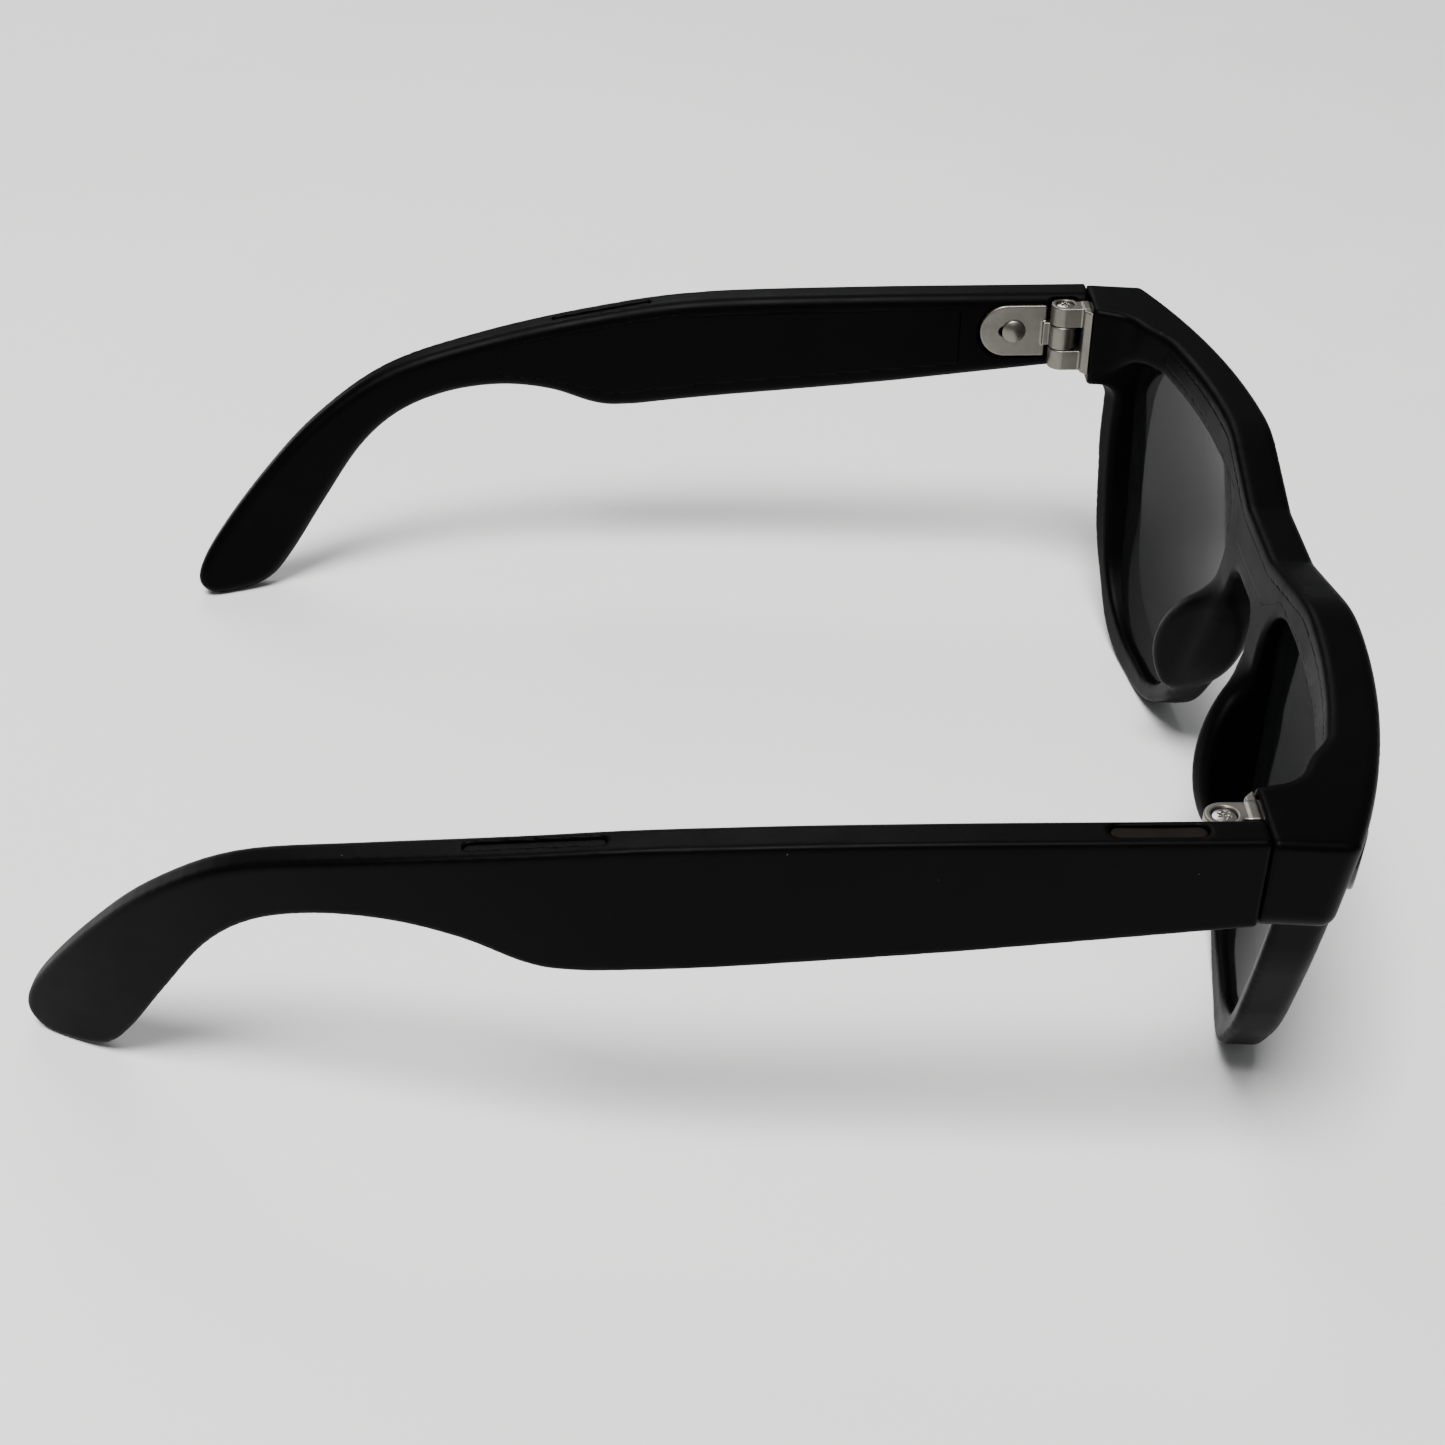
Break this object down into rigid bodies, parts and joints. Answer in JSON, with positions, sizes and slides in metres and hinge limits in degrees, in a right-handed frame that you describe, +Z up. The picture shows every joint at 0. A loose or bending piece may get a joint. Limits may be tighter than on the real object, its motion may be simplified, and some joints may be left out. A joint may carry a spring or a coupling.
{
  "type": "smart glasses",
  "caption": "Thick-framed dark glasses with hollow electronics arms that fold, a capture button on the right arm and a power switch inside the left arm.",
  "frame": {"origin": "middle of the footprint on the table that the rims and the arm tips stand on", "axes": "+X to the wearer's left, -Y the way the wearer looks, +Z up"},
  "size_m": [0.145, 0.1636, 0.0531],
  "materials": {
    "frame_black": "fine matte moulded black",
    "lens_grey": "dark grey tint, glossy",
    "bezel_black": "gloss black",
    "window_clear": "dark glossy window",
    "hinge_satin": "satin, fine blasted",
    "screw_bright": "turned, bright",
    "button_brown": "matte, very dark brown",
    "board_green": "solder mask",
    "can_silver": "stamped sheet",
    "flex_amber": "polyimide film",
    "contact_gold": "plated",
    "cell_foil": "pouch foil",
    "module_grey": "moulded",
    "mesh_black": "fine woven mesh"
  },
  "bodies": {
    "front": {"front_frame": "frame_black", "brow_cover": "frame_black", "right_lens": "lens_grey", "left_lens": "lens_grey", "camera_bezel": "bezel_black", "camera_window": "window_clear", "camera_module": "module_grey", "led_bezel": "bezel_black", "led_window": "window_clear", "capture_led": "module_grey", "front_flex": "flex_amber", "charging_contacts": "contact_gold", "nose_microphone": "can_silver", "right_hinge_front_leaf": "hinge_satin", "left_hinge_front_leaf": "hinge_satin", "right_hinge_screw": "screw_bright", "left_hinge_screw": "screw_bright"},
    "right_temple": {"right_temple_shell": "frame_black", "right_temple_cover": "frame_black", "right_hinge_temple_leaf": "hinge_satin", "touch_sensor": "flex_amber", "logic_board": "board_green", "board_shield": "can_silver", "right_speaker": "module_grey", "right_speaker_mesh": "mesh_black", "right_lower_mesh": "mesh_black", "right_microphone": "can_silver", "button_switch": "can_silver"},
    "left_temple": {"left_temple_shell": "frame_black", "left_temple_cover": "frame_black", "left_hinge_temple_leaf": "hinge_satin", "battery": "cell_foil", "power_board": "board_green", "left_speaker": "module_grey", "left_speaker_mesh": "mesh_black", "left_lower_mesh": "mesh_black", "left_microphone": "can_silver", "power_switch_body": "module_grey"},
    "capture_button": {"capture_button": "button_brown"},
    "power_switch": {"power_switch_knob": "hinge_satin"}
  },
  "joints": [
    {"name": "right_temple_fold", "type": "hinge", "parent": "front", "child": "right_temple", "pos_m": [-0.0663, -0.05732, 0.0529], "axis": [0, -0.0637, -0.998], "range_deg": [0, 78]},
    {"name": "left_temple_fold", "type": "hinge", "parent": "front", "child": "left_temple", "pos_m": [0.0663, -0.05732, 0.0529], "axis": [0, 0.0637, 0.998], "range_deg": [0, 86]},
    {"name": "capture_button_press", "type": "slide", "parent": "right_temple", "child": "capture_button", "axis": [0, -0.0637, -0.998], "range_m": [0, 0.00035], "stiffness_N_per_m": 1500, "springref_m": -0.0003},
    {"name": "power_switch_slide", "type": "slide", "parent": "left_temple", "child": "power_switch", "axis": [0, 0.998, -0.0637], "range_m": [0, 0.0015]}
  ]
}
